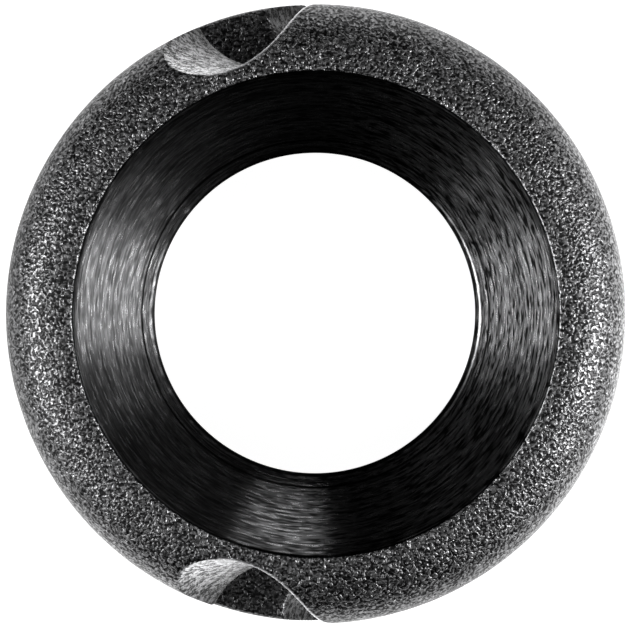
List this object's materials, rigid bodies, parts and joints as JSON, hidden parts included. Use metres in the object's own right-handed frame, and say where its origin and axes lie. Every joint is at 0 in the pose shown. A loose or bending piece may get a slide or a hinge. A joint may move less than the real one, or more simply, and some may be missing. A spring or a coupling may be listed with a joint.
{
  "type": "bowstring peep sight",
  "caption": "Small waisted ring with a conical screw-in sight hole and two slanted grooves that a split bowstring lies in.",
  "frame": {"origin": "centre of the rear face, on the bore's axis", "axes": "+Z along the bore towards the hooded front; the two string grooves lie at +Y and -Y and slant from -X at the front to +X at the rear"},
  "size_m": [0.0122, 0.0122, 0.0056],
  "materials": {
    "blasted_anodise": "bead-blasted, black anodised",
    "turned_anodise": "fine turned, black anodised",
    "rubber": "matt black nitrile rubber"
  },
  "bodies": {
    "housing": {"housing": "blasted_anodise"},
    "o_ring": {"retaining_o_ring": "rubber"},
    "aperture": {"aperture_insert": "turned_anodise"}
  },
  "joints": [
    {"name": "aperture_travel", "type": "slide", "parent": "housing", "child": "o_ring", "axis": [0, 0, 1], "range_m": [0, 0.006]},
    {"name": "aperture_turn", "type": "hinge", "parent": "o_ring", "child": "aperture", "pos_m": [0, 0, 0.0026], "axis": [0, 0, 1], "range_deg": [0, 4320]}
  ],
  "couplings": [
    {"joint": "aperture_turn", "follows": "aperture_travel", "rad_per_m": 12566}
  ]
}
